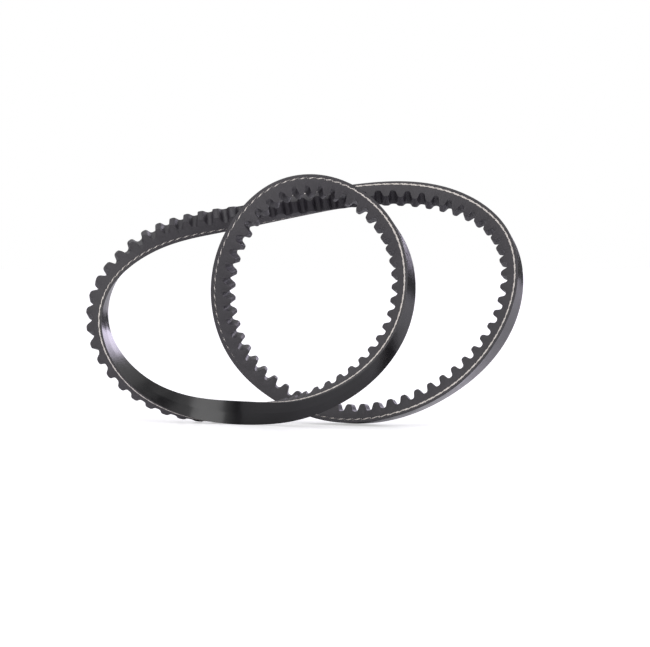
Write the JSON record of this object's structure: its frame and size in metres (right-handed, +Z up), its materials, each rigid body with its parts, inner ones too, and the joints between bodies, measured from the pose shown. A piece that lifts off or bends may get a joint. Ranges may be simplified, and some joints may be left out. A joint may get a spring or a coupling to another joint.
{
  "type": "cogged v belt",
  "caption": "Narrow raw-edge cogged V belt, endless, lying on its edge in a three-lobed curl as it comes off the shelf.",
  "frame": {"origin": "middle of the bounding box on the floor", "axes": "+Z up, +X along the longest extent of the curled loop, -Y towards the side where the small front loop stands"},
  "size_m": [0.1844, 0.0616, 0.1051],
  "materials": {
    "back_rubber": "smooth, glossy moulded back",
    "cushion_rubber": "cut rubber, matt",
    "polyester_cord": "twisted cord, creamy white, matt",
    "compression_rubber": "ground flanks, fibre-filled rubber, matt"
  },
  "bodies": {
    "root": {"back_cover_ply": "back_rubber", "upper_cushion_gum": "cushion_rubber", "tensile_cord": "polyester_cord", "lower_cushion_gum": "cushion_rubber", "cogged_body": "compression_rubber"}
  },
  "joints": []
}
